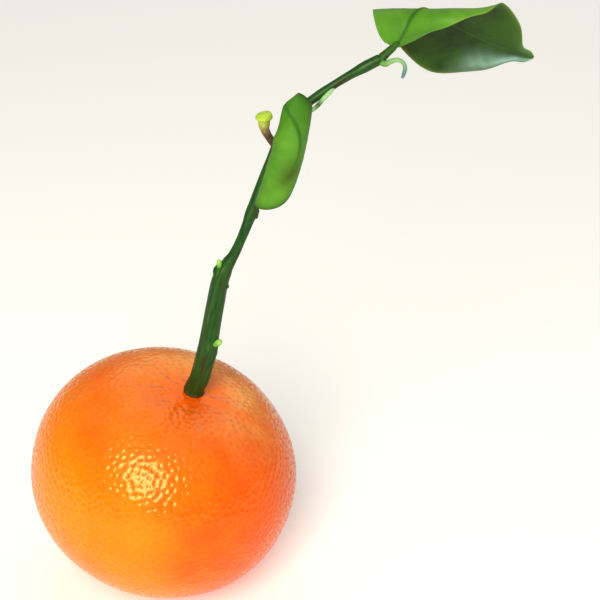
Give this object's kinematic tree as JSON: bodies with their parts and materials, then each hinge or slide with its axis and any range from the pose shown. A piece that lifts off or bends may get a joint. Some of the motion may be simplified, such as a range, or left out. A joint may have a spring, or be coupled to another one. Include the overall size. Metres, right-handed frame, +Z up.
{
  "type": "clementine",
  "caption": "Round clementine on a small flat spot, its stem end leaning aside and carrying a twig with curled leaves, sleeping buds and a spent flower stalk.",
  "frame": {"origin": "middle of the small flat spot under the fruit, on the floor", "axes": "+Z up from the flat spot, which faces -Z; -Y is the front; the stem end leans to +X, and the twig and its leaves reach up and to +X"},
  "size_m": [0.1066, 0.0576, 0.1275],
  "materials": {
    "peel": "satin",
    "calyx_green": "matte",
    "twig_bark": "satin",
    "upper_leaf_green": "satin",
    "lower_leaf_green": "satin",
    "spent_flower": "matte",
    "withered_tip": "matte",
    "bud_green": "matte"
  },
  "bodies": {
    "root": {"fruit": "peel", "calyx": "calyx_green", "twig": "twig_bark", "upper_leaf": "upper_leaf_green", "lower_leaf": "lower_leaf_green", "flower_stub": "spent_flower", "shoot_tip": "withered_tip", "bud_low": "bud_green", "bud_high": "bud_green"}
  },
  "joints": []
}
